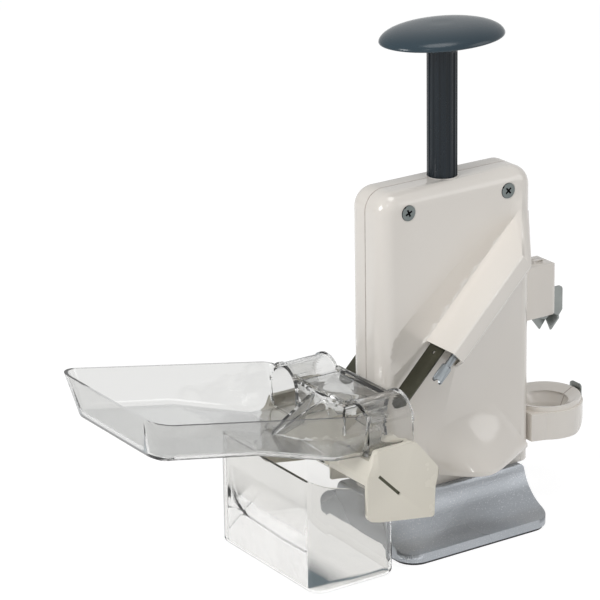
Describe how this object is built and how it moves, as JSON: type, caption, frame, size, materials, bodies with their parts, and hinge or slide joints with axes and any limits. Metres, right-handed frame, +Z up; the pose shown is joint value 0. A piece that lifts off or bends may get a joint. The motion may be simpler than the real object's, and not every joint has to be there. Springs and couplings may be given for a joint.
{
  "type": "cherry pitter",
  "caption": "Push-down cherry and plum stoner: a plunger drives slanted punches and a crossed plum cutter, with a clear feed tray, a clear stone container and a heavy foot.",
  "frame": {"origin": "on the table, under the axis of the plunger, between the two faces of the housing", "axes": "+X along the wide face towards the plum station, the tray at -X; +Y to the rear face; +Z up"},
  "size_m": [0.3255, 0.1094, 0.3],
  "materials": {
    "shell_plastic": "smooth light grey-white moulding",
    "cream_plastic": "smooth cream moulding",
    "dark_plastic": "smooth dark slate moulding",
    "inner_plastic": "plain moulded",
    "clear_plastic": "clear, slightly smoky",
    "foot_plastic": "fine-grained grey",
    "soft_rubber": "dull",
    "steel": "plain stainless"
  },
  "bodies": {
    "housing": {"base": "foot_plastic", "anti_slip_ring": "soft_rubber", "base_screws": "steel", "front_shell": "shell_plastic", "rear_shell": "shell_plastic", "housing_screws": "steel", "stem_bush": "shell_plastic", "spring_guide": "inner_plastic", "return_spring": "steel", "plum_seat": "shell_plastic", "plum_seat_ring": "shell_plastic", "plum_seat_clip": "steel", "front_retaining_strip": "steel", "front_cherry_holder": "cream_plastic", "front_stone_stripper": "steel", "rear_retaining_strip": "steel", "rear_cherry_holder": "cream_plastic", "rear_stone_stripper": "steel"},
    "press": {"press_knob": "dark_plastic", "press_stem": "dark_plastic", "knob_screw": "steel", "press_carriage": "inner_plastic", "plum_cutter_body": "shell_plastic", "plum_blades": "steel"},
    "front_punch_unit": {"front_punch_slider": "inner_plastic", "front_drive_pin": "steel", "front_punch": "steel"},
    "rear_punch_unit": {"rear_punch_slider": "inner_plastic", "rear_drive_pin": "steel", "rear_punch": "steel"},
    "tray": {"cherry_tray": "clear_plastic"},
    "container": {"stone_container": "clear_plastic"}
  },
  "joints": [
    {"name": "press_slide", "type": "slide", "parent": "housing", "child": "press", "axis": [0, 0, -1], "range_m": [0, 0.047], "stiffness_N_per_m": 300, "springref_m": -0.03, "deforming": ["return_spring"]},
    {"name": "front_punch_slide", "type": "slide", "parent": "housing", "child": "front_punch_unit", "axis": [-0.7071, 0, -0.7071], "range_m": [0, 0.06648]},
    {"name": "rear_punch_slide", "type": "slide", "parent": "housing", "child": "rear_punch_unit", "axis": [-0.7071, 0, -0.7071], "range_m": [0, 0.06648]},
    {"name": "tray_slide", "type": "slide", "parent": "housing", "child": "tray", "axis": [-1, 0, 0], "range_m": [0, 0.1]},
    {"name": "container_slide", "type": "slide", "parent": "housing", "child": "container", "axis": [-1, 0, 0], "range_m": [0, 0.12]}
  ],
  "couplings": [
    {"joint": "front_punch_slide", "follows": "press_slide", "ratio": 1.4142},
    {"joint": "rear_punch_slide", "follows": "press_slide", "ratio": 1.4142}
  ]
}
